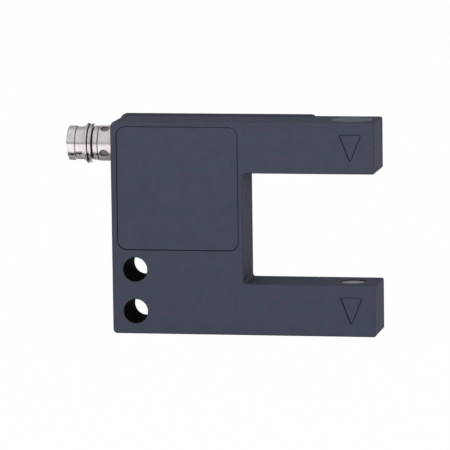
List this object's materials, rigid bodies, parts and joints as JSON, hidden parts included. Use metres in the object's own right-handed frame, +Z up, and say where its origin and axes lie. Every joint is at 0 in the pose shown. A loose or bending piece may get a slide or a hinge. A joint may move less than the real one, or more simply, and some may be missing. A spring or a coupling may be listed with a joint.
{
  "type": "fork sensor",
  "caption": "U-shaped light barrier: a slim blue-grey housing with a fork slot, optics in both arms, mounting holes, a raised bare field and a round plug connector.",
  "frame": {"origin": "centre of the housing's bottom face, which is the lower arm's outer face", "axes": "+X from the connector to the arm tips, +Y from the front to the rear cover, +Z up across the slot"},
  "size_m": [0.0708, 0.0132, 0.0487],
  "materials": {
    "coat": "fine matt blue-grey coat on cast aluminium",
    "nickel": "bright nickel plate on turned brass",
    "steel": "dark steel",
    "gold": "gold flash",
    "insulator": "matt black moulding",
    "rubber": "matt black rubber",
    "lens": "smoked, polished",
    "plug": "satin grey",
    "diode": "clear epoxy",
    "board": "green lacquer",
    "chip": "matt black moulding",
    "can": "bright can",
    "brown_lead": "brown insulation",
    "blue_lead": "blue insulation",
    "black_lead": "black insulation",
    "red_lead": "red insulation"
  },
  "bodies": {
    "root": {"housing": "coat", "rear_cover": "coat", "cover_seal": "rubber", "cover_screw_1": "steel", "cover_screw_2": "steel", "cover_screw_3": "steel", "cover_screw_4": "steel", "cover_screw_5": "steel", "sender_lens": "lens", "sender_holder": "insulator", "sender_diode": "diode", "sender_board": "board", "sender_plug": "plug", "receiver_lens": "lens", "receiver_holder": "insulator", "receiver_diode": "diode", "receiver_board": "board", "receiver_plug": "plug", "main_board": "board", "board_screw_1": "steel", "board_screw_2": "steel", "board_screw_3": "steel", "controller_chip": "chip", "voltage_regulator": "chip", "output_switch": "chip", "supply_capacitor": "can", "filter_capacitor": "can", "sender_lead_1": "red_lead", "sender_lead_2": "black_lead", "receiver_lead_1": "red_lead", "receiver_lead_2": "black_lead", "connector_collar": "nickel", "connector_sleeve": "nickel", "connector_nut": "nickel", "connector_seal": "rubber", "contact_carrier": "insulator", "contact_pin_1": "gold", "contact_pin_2": "gold", "contact_pin_3": "gold", "connector_lead_1": "brown_lead", "connector_lead_2": "blue_lead", "connector_lead_3": "black_lead"}
  },
  "joints": []
}
